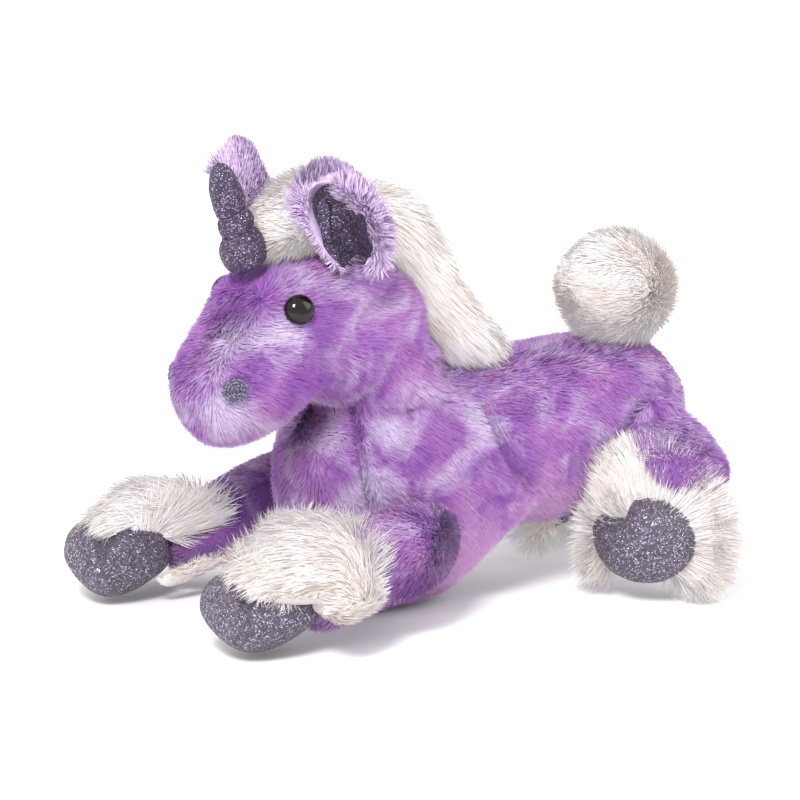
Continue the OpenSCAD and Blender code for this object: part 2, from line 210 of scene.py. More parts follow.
def hold(obj, low=None, inner=None, sign=0):
    """Keeps a swollen skin off the floor and clear of the trunk."""
    co = points_of(obj.data)
    if low is not None:
        co[:, 2] = np.maximum(co[:, 2], low)
    if inner is not None:
        side = -sign * co[:, 1]
        co[:, 1] = -sign * np.maximum(side, inner)
    set_points(obj.data, co)
    return obj


def number_layer(mesh, name, values):
    layer = mesh.attributes.new(name, "FLOAT", "POINT")
    layer.data.foreach_set("value", np.asarray(values, np.float32))


# ---------------------------------------------------------------- pile
def ripple(at, size, seed):
    """A smooth wandering direction for every place, for naps that swirl."""
    rng = np.random.default_rng(seed)
    out = np.zeros((len(at), 3))
    for _ in range(5):
        wave = unit(rng.normal(size=3)) * 2 * math.pi / (size * rng.uniform(0.6, 1.6))
        out += np.sin(at @ wave + rng.uniform(0, 6.3))[:, None] * unit(rng.normal(size=3))
    return out / 2.2


WIDE_SWIRL, SMALL_SWIRL = 0.022, 0.008
ROOT_DEPTH, FLOOR_GAP = 0.4 * MM, 0.2 * MM


def grow(name, skin, seed, per_mm2, length, width, comb, lay=0.5, rows=2, stray=0.2, sag=0.0,
         tuft=(0.0025, 0.3), swirl=0.3, creases=(), shape=None, soft=0.45):
    """Pile as a mesh of fine tapered blades rooted on a skin. comb gives the nap's direction at each place,
    lay is how flat it lies, shape scales its length, and tuft is a lock's size and how far its tips gather."""
    rng = np.random.default_rng(seed)
    mesh = skin.data
    mesh.calc_loop_triangles()
    corners = np.empty(len(mesh.loop_triangles) * 3, np.int64)
    mesh.loop_triangles.foreach_get("vertices", corners)
    corners = corners.reshape(-1, 3)
    co, nrm = points_of(mesh), normals_of(mesh)
    sides = co[corners[:, 1]] - co[corners[:, 0]], co[corners[:, 2]] - co[corners[:, 0]]
    area = np.linalg.norm(np.cross(*sides), axis=1) / 2
    count = int(area.sum() / MM**2 * per_mm2)
    pick = rng.choice(len(corners), count, p=area / area.sum())
    u, v = rng.random(count), rng.random(count)
    fold = u + v > 1
    u[fold], v[fold] = 1 - u[fold], 1 - v[fold]
    share = np.stack([1 - u - v, u, v], 1)[:, :, None]
    root = (co[corners[pick]] * share).sum(1)
    out = unit((nrm[corners[pick]] * share).sum(1))
    keep = shape(root, out) if shape else np.ones(count)
    chosen = keep > 0.03
    root, out, keep = root[chosen], out[chosen], keep[chosen]
    count = len(root)
    deep = crease_at(root, creases) if creases else np.zeros(count)
    reach = length * rng.uniform(0.65, 1.2, count) * keep * (1 - 0.85 * deep)
    nap = comb(root, out) + swirl * ripple(root, WIDE_SWIRL, seed + 1)
    nap = unit(nap + 0.5 * swirl * ripple(root, SMALL_SWIRL, seed + 2))
    nap = unit(nap - out * (nap * out).sum(1, keepdims=True))
    first = unit(out * (1 - lay * 0.7) + nap * lay * 0.7 + stray * rng.normal(size=(count, 3)))
    last = unit(out * (1 - lay) + nap * lay + stray * rng.normal(size=(count, 3)) - np.array([0, 0, sag]))
    tip = root + reach[:, None] * (first + last) / 2
    size, pull = tuft
    cells = np.floor((root + 0.4 * size * ripple(root, 3 * size, seed + 3)) / size).astype(np.int64)
    _, lock = np.unique(cells @ np.array([1, 4096, 4096**2], np.int64), return_inverse=True)
    members = np.bincount(lock)
    middle = np.stack([np.bincount(lock, tip[:, k]) / members for k in range(3)], 1)
    tip += pull * (middle[lock] - tip)
    side = unit(np.cross(tip - root, out + 0.6 * rng.normal(size=(count, 3))))
    facing = (np.cross(side, tip - root) * out).sum(1)
    side[facing < 0] *= -1
    verts = np.empty((count, 2 * rows + 1, 3))
    shade = unit(out + soft * rng.normal(size=(count, 3)))
    for row in range(rows):
        t = row / rows
        bend = t * (1 - t)
        centre = root + bend * reach[:, None] * first + t * t * (tip - root) + bend * (tip - root) * 0.5
        if row == 0:
            centre = root - out * ROOT_DEPTH
        half = side * (width / 2 * (1 - 0.55 * t))
        verts[:, 2 * row], verts[:, 2 * row + 1] = centre - half, centre + half
    verts[:, -1] = tip
    verts[..., 2] = np.maximum(verts[..., 2], FLOOR_GAP)
    blade = []
    for row in range(rows - 1):
        blade += [2 * row, 2 * row + 1, 2 * row + 3, 2 * row, 2 * row + 3, 2 * row + 2]
    blade += [2 * rows - 2, 2 * rows - 1, 2 * rows]
    per = 2 * rows + 1
    index = (np.arange(count)[:, None] * per + np.array(blade)[None]).ravel()
    fur = bpy.data.meshes.new(name)
    fur.vertices.add(count * per)
    fur.vertices.foreach_set("co", verts.astype(np.float32).ravel())
    fur.loops.add(len(index))
    fur.loops.foreach_set("vertex_index", index.astype(np.int32))
    fur.polygons.add(len(index) // 3)
    fur.polygons.foreach_set("loop_start", np.arange(0, len(index), 3, dtype=np.int32))
    fur.polygons.foreach_set("use_smooth", np.ones(len(index) // 3, bool))
    fur.update(calc_edges=True)
    up = np.array([min(r // 2, rows) / rows for r in range(per)])
    number_layer(fur, "along", np.tile(up, count))
    number_layer(fur, "strand", np.repeat(rng.random(count), per))
    number_layer(fur, "crease", np.repeat(deep, per))
    grid = math.ceil(math.sqrt(count))
    cell = np.stack([np.arange(count) % grid, np.arange(count) // grid], 1)[:, None]
    inside = np.array([[0.15 + 0.7 * (r % 2) if r < 2 * rows else 0.5, 0.1 + 0.8 * up[r]] for r in range(per)])
    uv = ((cell + inside[None]) / grid).reshape(-1, 2)[index]
    fur.uv_layers.new(name="OFBake").uv.foreach_set("vector", uv.astype(np.float32).ravel())
    fur.normals_split_custom_set_from_vertices(np.repeat(shade, per, 0))
    return add_object(name, fur)


# ---------------------------------------------------------------- materials
def new_socket(group, name, kind, incoming, value=None):
    socket = group.interface.new_socket(name=name, in_out="INPUT" if incoming else "OUTPUT", socket_type=kind)
    if value is not None:
        socket.default_value = value
    return socket


class Nodes:
    """Short calls for laying nodes and joining them."""

    def __init__(self, tree):
        self.tree = tree

    def add(self, kind, *joins, **settings):
        node = self.tree.nodes.new("ShaderNode" + kind)
        for key, value in settings.items():
            setattr(node, key, value)
        return self.fill(node, joins)

    def fill(self, node, joins):
        """Links or sets each named input."""
        for name, value in joins:
            if isinstance(value, bpy.types.NodeSocket):
                self.tree.links.new(value, node.inputs[name])
            else:
                node.inputs[name].default_value = value
        return node

    def mix(self, factor, a, b, blend="MIX"):
        return self.add("Mix", (0, factor), (6, a), (7, b), data_type="RGBA", blend_type=blend).outputs[2]

    def noise(self, place, scale, detail=2.0, rough=0.5, bend=0.0):
        node = self.add("TexNoise", ("Vector", place), ("Scale", scale), ("Detail", detail),
                        ("Roughness", rough), ("Distortion", bend))
        return node.outputs["Fac"]

    def spread(self, value, low, high, to_low=0.0, to_high=1.0):
        node = self.add("MapRange", ("Value", value), ("From Min", low), ("From Max", high),
                        ("To Min", to_low), ("To Max", to_high), clamp=True)
        return node.outputs["Result"]


def tone(hex_colour):
    """A colour given as six hex digits, as the shader's linear values."""
    parts = [int(hex_colour[i:i + 2], 16) / 255 for i in (0, 2, 4)]
    return tuple(((c + 0.055) / 1.055) ** 2.4 if c > 0.04045 else c / 12.92 for c in parts) + (1.0,)


def start_group(name, inputs, outputs):
    group = bpy.data.node_groups.new(name, "ShaderNodeTree")
    for label, kind, value in inputs:
        new_socket(group, label, "NodeSocket" + kind, True, value)
    for label, kind in outputs:
        new_socket(group, label, "NodeSocket" + kind, False)
    lay = Nodes(group)
    return group, lay, group.nodes.new("NodeGroupInput"), group.nodes.new("NodeGroupOutput")


def dye_group():
    """Blotches of deep, middle and pale dye that run into each other."""
    group, lay, given, result = start_group(
        "Dyed mottle",
        [("Deep", "Color", (0, 0, 0, 1)), ("Middle", "Color", (0, 0, 0, 1)), ("Pale", "Color", (0, 0, 0, 1)),
         ("Warm", "Color", (0, 0, 0, 1)), ("Blotch size", "Float", 30.0), ("Pale share", "Float", 0.5)],
        [("Color", "Color")])
    place = lay.add("TexCoord").outputs["Object"]
    blotch = lay.noise(place, given.outputs["Blotch size"], 3.0, 0.55, 0.7)
    shifted = lay.add("VectorMath", (0, place), (1, (3.1, 1.7, 0.6)), operation="ADD").outputs[0]
    pale = lay.noise(shifted, given.outputs["Blotch size"], 4.0, 0.6, 1.1)
    warm = lay.add("VectorMath", (0, place), (1, (0.4, 5.2, 2.9)), operation="ADD").outputs[0]
    warm = lay.noise(warm, given.outputs["Blotch size"], 2.0, 0.5, 0.3)
    colour = lay.mix(lay.spread(blotch, 0.34, 0.6), given.outputs["Deep"], given.outputs["Middle"])
    colour = lay.mix(lay.spread(warm, 0.5, 0.68, 0.0, 0.75), colour, given.outputs["Warm"])
    edge = lay.add("Math", (0, 0.68), (1, given.outputs["Pale share"]), operation="SUBTRACT").outputs[0]
    past = lay.add("Math", (0, pale), (1, edge), operation="SUBTRACT").outputs[0]
    colour = lay.mix(lay.spread(past, 0.16, 0.42, 0.0, 0.85), colour, given.outputs["Pale"])
    group.links.new(colour, result.inputs[0])
    return group


def patch_group():
    """A soft-edged patch round one place on the toy."""
    group, lay, given, result = start_group(
        "Dye patch", [("Place", "Vector", (0, 0, 0)), ("Radius", "Float", 0.02)], [("Mask", "Float")])
    place = lay.add("TexCoord").outputs["Object"]
    far = lay.add("VectorMath", (0, place), (1, given.outputs["Place"]), operation="DISTANCE").outputs["Value"]
    ragged = lay.spread(lay.noise(place, 70.0, 3.0, 0.6, 0.6), 0.3, 0.7, 0.55, 1.35)
    far = lay.add("Math", (0, far), (1, ragged), operation="MULTIPLY").outputs[0]
    ratio = lay.add("Math", (0, far), (1, given.outputs["Radius"]), operation="DIVIDE").outputs[0]
    group.links.new(lay.spread(ratio, 0.45, 1.1, 1.0, 0.0), result.inputs[0])
    return group


def strand_group():
    """Painted highlight on the tips, painted shade at the roots, a shade of its own for each strand, and painted
    shadow down in the seams.
    """
    group, lay, given, result = start_group(
        "Strand shading",
        [("Color", "Color", (0, 0, 0, 1)), ("Root shade", "Float", 0.6), ("Tip lift", "Float", 0.2),
         ("Variety", "Float", 0.2), ("Seam shade", "Float", 0.5)],
        [("Color", "Color")])
    along = lay.add("Attribute", attribute_name="along").outputs["Fac"]
    strand = lay.add("Attribute", attribute_name="strand").outputs["Fac"]
    crease = lay.add("Attribute", attribute_name="crease").outputs["Fac"]
    # Painted shade: darker towards each strand's root, and darker in the seams by the crease layer.
    rest = lay.add("Math", (0, 1.0), (1, along), operation="SUBTRACT").outputs[0]
    shade = lay.add("Math", (0, rest), (1, given.outputs["Root shade"]), operation="MULTIPLY").outputs[0]
    seam = lay.add("Math", (0, crease), (1, given.outputs["Seam shade"]), operation="MULTIPLY").outputs[0]
    shade = lay.add("Math", (0, shade), (1, seam), operation="MAXIMUM").outputs[0]
    # The colour that the painted shade darkens towards.
    dark = lay.mix(1.0, given.outputs["Color"], (0.32, 0.24, 0.42, 1), "MULTIPLY")
    colour = lay.mix(shade, given.outputs["Color"], dark)
    # Painted highlight: lighter towards each strand's tip.
    lift = lay.add("Math", (0, along), (1, given.outputs["Tip lift"]), operation="MULTIPLY").outputs[0]
    colour = lay.mix(lift, colour, (1, 1, 1, 1), "SOFT_LIGHT")
    own = lay.add("Math", (0, strand), (1, 0.5), operation="SUBTRACT").outputs[0]
    own = lay.add("Math", (0, own), (1, given.outputs["Variety"]), operation="MULTIPLY").outputs[0]
    bright = lay.add("Math", (0, own), (1, 1.0), operation="ADD").outputs[0]
    colour = lay.add("VectorMath", (0, colour), ("Scale", bright), operation="SCALE").outputs[0]
    group.links.new(colour, result.inputs[0])
    return group


def glitter_group():
    """Fine metal flakes printed on knit cloth: each flake with its own tint, shine and tilt."""
    group, lay, given, result = start_group(
        "Glitter flakes",
        [("Ground", "Color", (0, 0, 0, 1)), ("Bright", "Color", (1, 1, 1, 1)), ("Tint", "Float", 0.4),
         ("Flake size", "Float", 1500.0), ("Share", "Float", 0.3)],
        [("Color", "Color"), ("Roughness", "Float"), ("Metallic", "Float"), ("Height", "Float")])
    place = lay.add("TexCoord").outputs["Object"]
    cells = lay.add("TexVoronoi", ("Vector", place), ("Scale", given.outputs["Flake size"]),
                    ("Randomness", 1.0))
    parts = lay.add("SeparateColor", ("Color", cells.outputs["Color"])).outputs
    worms = lay.noise(place, 420.0, 3.0, 0.6, 2.2)
    threads = lay.spread(worms, 0.42, 0.6)
    edge = lay.add("Math", (0, 1.0), (1, given.outputs["Share"]), operation="SUBTRACT").outputs[0]
    past = lay.add("Math", (0, parts[0]), (1, edge), operation="SUBTRACT").outputs[0]
    flake = lay.spread(past, -0.02, 0.05)
    hue = lay.mix(parts[1], (0.25, 0.45, 1.0, 1), (1.0, 0.55, 0.75, 1))
    hue = lay.mix(lay.spread(parts[2], 0.6, 0.8), hue, (0.75, 1.0, 0.7, 1))
    spark = lay.mix(given.outputs["Tint"], given.outputs["Bright"], hue, "MULTIPLY")
    dark = lay.mix(0.62, given.outputs["Ground"], (0.05, 0.04, 0.09, 1), "MULTIPLY")
    ground = lay.mix(threads, dark, given.outputs["Ground"])
    colour = lay.mix(flake, ground, spark)
    group.links.new(colour, result.inputs["Color"])
    group.links.new(lay.spread(flake, 0.0, 1.0, 0.55, 0.22), result.inputs["Roughness"])
    group.links.new(lay.spread(flake, 0.0, 1.0, 0.35, 0.9), result.inputs["Metallic"])
    tall = lay.add("Math", (0, parts[1]), (1, threads), (2, 0.0), operation="MULTIPLY_ADD")
    group.links.new(tall.outputs[0], result.inputs["Height"])
    return group


GROUPS = {"dye": dye_group(), "patch": patch_group(), "strand": strand_group(), "glitter": glitter_group()}


def start_material(name, **fixed):
    material = bpy.data.materials.new(name)
    material.use_nodes = True
    material.node_tree.nodes.clear()
    lay = Nodes(material.node_tree)
    shader = lay.add("BsdfPrincipled")
    for key, value in fixed.items():
        shader.inputs[key.replace("_", " ")].default_value = value
    end = lay.add("OutputMaterial")
    material.node_tree.links.new(shader.outputs[0], end.inputs[0])
    return material, lay, shader


def use_group(lay, which, *joins):
    return lay.add("Group", *joins, node_tree=GROUPS[which])


# Patches of colour on the face and body: place, radius, colour. Most are dye. The rose ones low on the belly are
# pink dye, made lighter as painted light on the shaded underside.
LAVENDER, VIOLET, ROSE_AND_PAINTED_LIGHT = tone("d3c2e2"), tone("8a47a6"), tone("cf98cd")
PATCH_STRENGTH = 0.8
PATCHES = [
    (mm(-84, -44, 141), 0.017, LAVENDER), (mm(-64, 32, 141), 0.017, LAVENDER),
    (mm(-107, -34, 146), 0.014, LAVENDER), (mm(-98, 12, 146), 0.014, LAVENDER),
    (mm(-74, -30, 172), 0.012, LAVENDER), (mm(-112, -42, 112), 0.016, LAVENDER),
    (mm(-72, -45, 124), 0.018, VIOLET), (mm(-97, -47, 131), 0.012, VIOLET),
    (mm(-24, -36, 94), 0.011, LAVENDER), (mm(-34, -30, 66), 0.015, LAVENDER),
    # The last two violet patches lie round the horn's foot and make the brow darker there.
    (mm(-60, -41, 150), 0.014, VIOLET), (mm(-92, -22, 170), 0.024, VIOLET), (mm(-86, 10, 172), 0.02, VIOLET),
    # The two rose patches here lie low on the belly. They are pink dye, lightened as painted light where the
    # underside is in shade.
    (mm(16, -34, 20), 0.03, ROSE_AND_PAINTED_LIGHT), (mm(62, -36, 36), 0.026, ROSE_AND_PAINTED_LIGHT), (mm(24, -36, 92), 0.012, LAVENDER),
]


def dyed_colour(lay, pale_share=0.36):
    """The mottled dye with its patches laid over it."""
    dye = use_group(lay, "dye", ("Deep", tone("8b4da8")), ("Middle", tone("a56cba")), ("Pale", tone("ccb4da")),
                    ("Warm", tone("b474b8")), ("Blotch size", 40.0), ("Pale share", pale_share))
    colour = dye.outputs[0]
    for place, radius, patch in PATCHES:
        mask = use_group(lay, "patch", ("Place", tuple(place)), ("Radius", radius)).outputs[0]
        mask = lay.add("Math", (0, mask), (1, PATCH_STRENGTH), operation="MULTIPLY").outputs[0]
        colour = lay.mix(mask, colour, patch)
    return colour


def purple_pile(name, pale_share, root_painted_shade):
    material, lay, shader = start_material(name, Sheen_Weight=0.25, Sheen_Roughness=0.4)
    strand = use_group(lay, "strand", ("Color", dyed_colour(lay, pale_share)), ("Root shade", root_painted_shade),
                       ("Tip lift", 0.35), ("Variety", 0.25), ("Seam shade", 1.0))
    place = lay.add("TexCoord").outputs["Object"]
    lay.tree.links.new(strand.outputs[0], shader.inputs["Base Color"])
    lay.tree.links.new(lay.spread(lay.noise(place, 300.0), 0.3, 0.7, 0.6, 0.85), shader.inputs["Roughness"])
    return material


def white_colour(lay):
    place = lay.add("TexCoord").outputs["Object"]
    cloud = lay.noise(place, 38.0, 3.0, 0.55, 0.4)
    return lay.mix(lay.spread(cloud, 0.36, 0.64, 0.05, 0.9), tone("d3cfd1"), tone("cbc2bd"))


def white_pile():
    # The pile glows with its own colour. This is painted light that brightens the shade between the strands.
    material, lay, shader = start_material("White long pile", Sheen_Weight=0.15, Emission_Strength=0.24)
    strand = use_group(lay, "strand", ("Color", white_colour(lay)), ("Root shade", 0.04), ("Tip lift", 0.0),
                       ("Variety", 0.03), ("Seam shade", 0.4))
    place = lay.add("TexCoord").outputs["Object"]
    lay.tree.links.new(strand.outputs[0], shader.inputs["Base Color"])
    # Painted light: the strand colour also glows.
    lay.tree.links.new(strand.outputs[0], shader.inputs["Emission Color"])
    lay.tree.links.new(lay.spread(lay.noise(place, 260.0), 0.3, 0.7, 0.5, 0.8), shader.inputs["Roughness"])
    return material


def backing_cloth(name, base, shade, depth, weave, bump_strength):
    """Knit backing under the pile, seen only where the pile parts. It is darkened towards the shade colour by depth,
    as painted shade down in the pile.
    """
    material, lay, shader = start_material(name)
    place = lay.add("TexCoord").outputs["Object"]
    knit = lay.noise(place, 900.0, 2.0)
    # Painted shade: the backing is darker than the pile, as if it lay in the pile's shadow.
    colour = lay.mix(depth, base(lay), shade, "MULTIPLY")
    colour = lay.mix(lay.spread(knit, 0.35, 0.65, 0.0, weave), colour, (0.2, 0.1, 0.3, 1), "MULTIPLY")
    bump = lay.add("Bump", ("Height", knit), ("Strength", bump_strength), ("Distance", 0.0006))
    lay.tree.links.new(colour, shader.inputs["Base Color"])
    lay.tree.links.new(lay.spread(knit, 0.3, 0.7, 0.75, 0.95), shader.inputs["Roughness"])
    lay.tree.links.new(bump.outputs[0], shader.inputs["Normal"])
    return material, shader


def glitter_cloth(name, ground, bright, flakes, share):
    material, lay, shader = start_material(name)
    flake = use_group(lay, "glitter", ("Ground", tone(ground)), ("Bright", tone(bright)), ("Tint", 0.5),
                      ("Flake size", flakes), ("Share", share))
    for key in ("Color", "Roughness", "Metallic"):
        target = "Base Color" if key == "Color" else key
        lay.tree.links.new(flake.outputs[key], shader.inputs[target])
    bump = lay.add("Bump", ("Height", flake.outputs["Height"]), ("Strength", 0.7), ("Distance", 0.0007))
    lay.tree.links.new(bump.outputs[0], shader.inputs["Normal"])
    return material


def glossy_eye():
    material, lay, shader = start_material("Glossy eye", IOR=1.45, Specular_IOR_Level=0.42)
    place = lay.add("TexCoord").outputs["Object"]
    depth = lay.noise(place, 160.0, 2.0)
    colour = lay.mix(lay.spread(depth, 0.35, 0.65), tone("050303"), tone("180b07"))
    lay.tree.links.new(colour, shader.inputs["Base Color"])
    lay.tree.links.new(lay.spread(depth, 0.3, 0.7, 0.03, 0.08), shader.inputs["Roughness"])
    return material


def metal_thread(name, ground, bright):
    material, lay, shader = start_material(name)
    place = lay.add("TexCoord").outputs["Object"]
    twist = lay.noise(place, 1400.0, 2.0, 0.5, 0.5)
    colour = lay.mix(lay.spread(twist, 0.4, 0.62), tone(ground), tone(bright))
    bump = lay.add("Bump", ("Height", twist), ("Strength", 0.5), ("Distance", 0.0003))
    lay.tree.links.new(colour, shader.inputs["Base Color"])
    lay.tree.links.new(lay.spread(twist, 0.3, 0.7, 0.3, 0.6), shader.inputs["Roughness"])
    lay.tree.links.new(lay.spread(twist, 0.3, 0.7, 0.1, 0.45), shader.inputs["Metallic"])
    lay.tree.links.new(bump.outputs[0], shader.inputs["Normal"])
    return material


PURPLE = purple_pile("Purple pile", pale_share=0.39, root_painted_shade=0.45)
PALE_PURPLE = purple_pile("Pale purple pile", pale_share=0.72, root_painted_shade=0.15)
# Each backing's shade colour and depth give its painted shade.
BACKING, shader = backing_cloth("Purple backing", dyed_colour, (0.42, 0.34, 0.5, 1), 0.75, 0.4, 0.5)
shader.inputs["Sheen Weight"].default_value = 0.2
WHITE = white_pile()
WHITE_BACKING, shader = backing_cloth("White backing", white_colour, (0.86, 0.82, 0.84, 1), 0.5, 0.0, 0.4)
HOOF_CLOTH = glitter_cloth("Hoof glitter", "665d6b", "bdb8c6", 1700.0, 0.16)
DARK_CLOTH = glitter_cloth("Dark glitter", "4c3e55", "b3a9c2", 1900.0, 0.14)
EYE, GREY_THREAD = glossy_eye(), metal_thread("Grey thread", "2c2638", "7f7894")
HORN_THREAD = metal_thread("Horn thread", "2e2438", "75688a")


def dress(obj, material, body=None):
    obj.data.materials.clear()
    obj.data.materials.append(material)
    if body:
        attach(obj, body)
    return obj


# ---------------------------------------------------------------- head's own heading
# Head places are given forward, out to the side and up, in mm, from the head's turning point.
HEAD = Matrix.Translation(Vector(mm(-47.5, -5, 0))) @ Matrix.Rotation(math.radians(15), 4, "Z")


def on_side(sign, at, turn, rise):
    """The place and facing of a trim on the side of the head. Its own Z points out of the face."""
    return (HEAD @ Matrix.Translation(Vector(mm(at[0], -sign * at[1], at[2])))
            @ Matrix.Rotation(math.radians(-sign * turn), 4, "Z")
            @ Matrix.Rotation(math.radians(sign * (90 - rise)), 4, "X"))


def head_line(sign, *stations):
    """A seam on one side of the head, through places given as (forward, out, up)."""
    return np.array([HEAD @ Vector(mm(f, -sign * out, up)) for f, out, up in stations])


HORN_FOOT = Vector(mm(-42, 0, 173))
EYES = {1: on_side(1, (-34.6, 28.6, 157), 16, 20), -1: on_side(-1, (-34.6, 28.6, 157), 16, 20)}
NOSTRILS = {1: on_side(1, (-67, 21.5, 123), 34, 4), -1: on_side(-1, (-67, 21.5, 123), 34, 4)}


# ---------------------------------------------------------------- seams
def body_line(*stations):
    return np.array([mm(*s) for s in stations])


# Each seam is a line and how wide its hollow is
SEAM_WIDTH = 3.1 * MM
head_seams = []
for sign in (1, -1):
    head_seams += [
        (head_line(sign, (-12, 28, 176), (-17, 30, 171.5), (-21, 31, 166), (-30, 31, 161)), SEAM_WIDTH),
        (head_line(sign, (-31, 33, 150), (-28, 34, 141), (-26.5, 34, 132), (-25, 32, 124)), SEAM_WIDTH),
    ]
trunk_seams = []
for y in (-1, 1):
    trunk_seams.append((body_line((-39, 20 * y, 104), (-39.5, 25 * y, 94), (-40, 30 * y, 84), (-38.5, 34 * y, 70),
                                  (-36, 36 * y, 58)), SEAM_WIDTH))
for y in (-1, 1):
    trunk_seams.append((body_line((26, 24 * y, 106), (29, 34 * y, 88), (36, 38.5 * y, 70), (52, 38.5 * y, 48),
                                  (70, 36 * y, 38)), SEAM_WIDTH))
trunk_seams.append((body_line((-13, -26, 102), (-6, -24.5, 106.5), (2, -19, 112)), 3.2 * MM))

# ---------------------------------------------------------------- padded skins
trunk_skin = cut_from("flank_skin", "trunk_stuffing", "neck_stuffing")
NECK_FOOT, NECK_SINK = (0.1165, 0.1215), 14 * MM
co = points_of(trunk_skin.data)
co[(co[:, 2] > NECK_FOOT[0]) & (co[:, 2] < NECK_FOOT[1]), 2] -= NECK_SINK
set_points(trunk_skin.data, co)
add_puff(trunk_skin, mm(66, 0, 60), mm(46, 32, 29))
refine(trunk_skin, voxel=4.6 * MM, relax=6)
head_skin = cut_from("head_skin", "head_stuffing", "neck_stuffing")
add_puff(head_skin, mm(-41, -12, 128), mm(31, 26, 24))
add_puff(head_skin, mm(-45, 6, 128), mm(31, 26, 24))
add_puff(head_skin, mm(-20, -3, 142), mm(24, 28, 26))
refine(head_skin, voxel=4.2 * MM, relax=7)
leg_skins, pillows = {}, {}
for leg in LEGS:
    leg_skins[leg] = refine(cut_from(leg + "_skin", leg + "_stuffing"), voxel=4.2 * MM, relax=2)
    pillows[leg] = refine(cut_from(leg + "_hoof", leg + "_hoof_stuffing"), voxel=3.6 * MM, relax=2)
MOST_SWELL = 2.4 * MM
stuff([trunk_skin, head_skin, *leg_skins.values(), *pillows.values()], MOST_SWELL)
HIND_HOOF_FULLER = np.array([1.12, 1.12, 1.07])
for leg in LEGS[2:]:
    co = points_of(pillows[leg].data)
    set_points(pillows[leg].data, co.mean(0) + (co - co.mean(0)) * HIND_HOOF_FULLER + mm(0, 0, 1.5))

sew(trunk_skin, trunk_seams, 6.0 * MM)
sew(head_skin, head_seams, 5.0 * MM)


# Hollows under the eyes and nostrils and along the nose, and a low brow before each eye
for sign in (1, -1):
    dent(head_skin, EYES[sign].translation, 9 * MM, 1.4 * MM)
    dent(head_skin, NOSTRILS[sign].translation, 7 * MM, 1.2 * MM)
    dent(head_skin, HEAD @ Vector(mm(-47, -sign * 16, 162)), 10 * MM, -3.0 * MM)
dent(head_skin, HEAD @ Vector(mm(-63, -4, 160)), 25 * MM, 7.0 * MM)
dent(head_skin, HEAD @ Vector(mm(-76, 0, 146)), 14 * MM, 2.0 * MM)
SKIN_LOW = 0.6 * MM
hold(trunk_skin, low=SKIN_LOW)


# ---------------------------------------------------------------- naps: which way the pile lies
def towards(direction):
    direction = np.array(direction, float)
    return lambda at, out: np.tile(direction, (len(at), 1))


def head_nap(at, out):
    """Back from the nose along the cheeks, and down at the chin."""
    forward = HEAD.to_3x3() @ Vector((-1, 0, 0))
    nap = np.tile(np.array(-forward) + np.array([0, 0, -0.35]), (len(at), 1))
    nap[:, 2] -= 1.4 * np.clip((0.118 - at[:, 2]) / 0.03, 0, 1)
    nose = np.clip((out @ np.array(forward) - 0.45) / 0.4, 0, 1)[:, None]
    nap = nap * (1 - nose) + nose * np.array([0, 0, -1.0])
    return nap


def trunk_nap(at, out):
    nap = np.tile(np.array([0.75, 0, -0.75]), (len(at), 1))
    nap[:, 1] += 0.5 * np.sign(at[:, 1]) * (out[:, 2] > 0.3)
    return nap


def round_trims(at, out):
    """Short pile round the eyes and nostrils, and none under them or the horn."""
    keep = np.ones(len(at))
    for sign in (1, -1):
        for spot, clear, soft, lift in ((EYES[sign], 5.6, 8.5, 1.2), (NOSTRILS[sign], 6.0, 9.5, 0.0)):
            far = np.linalg.norm(at - np.array(spot.translation) - mm(0, 0, lift), axis=1) / MM
            keep = np.minimum(keep, np.clip((far - clear) / (soft - clear), 0, 1) ** 0.8)
    keep[keep > 0.03] = np.maximum(keep[keep > 0.03], 0.3)
    far = np.linalg.norm(at - np.array(HEAD @ HORN_FOOT), axis=1) / MM
    return keep * np.clip((far - 8) / 3, 0, 1) * (1 + 0.5 * np.clip((0.108 - at[:, 2]) / 0.012, 0, 1))


LONG_WIDTH = 0.45 * MM
short = dict(per_mm2=5.0, length=5.6 * MM, width=0.5 * MM, lay=0.74, rows=1, stray=0.13, tuft=(3.5 * MM, 0.18),
             soft=0.3)

# ---------------------------------------------------------------- trunk and head
dress(trunk_skin, BACKING)
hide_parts("flank_left", "flank_right", "belly", "neck_left", "neck_right", "trunk_stuffing",
            "neck_stuffing")
number_layer(trunk_skin.data, "crease", crease_at(points_of(trunk_skin.data), trunk_seams))


def side_of(sign):
    """Keeps only the pile on one side of the back's middle seam, and off the part that sits on the floor."""
    return lambda at, out: ((-sign * at[:, 1] >= 0) * np.clip(0.35 + at[:, 2] / 0.012, 0, 1)).astype(float)


for sign, side, seed in ((1, "left", 11), (-1, "right", 12)):
    pile = grow("flank_pile_" + side, trunk_skin, seed, comb=trunk_nap, creases=trunk_seams,
                shape=side_of(sign), **short)
    dress(pile, PURPLE)
    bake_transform(pile)
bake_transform(trunk_skin)

dress(head_skin, BACKING, "head")
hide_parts("cheek_left", "cheek_right", "forehead", "chin", "head_stuffing")
head_pile = grow("head_pile", head_skin, 21, comb=head_nap, creases=head_seams, shape=round_trims,
                 **short)
dress(head_pile, PURPLE, "head")

# ---------------------------------------------------------------- legs
FORE_WALL, HIND_WALL = 39.6 * MM, 35.6 * MM
ANKLE = mm(126.5, 50, 0)
HOOF_LOW, CUFF_LOW = 0.1 * MM, 0.3 * MM

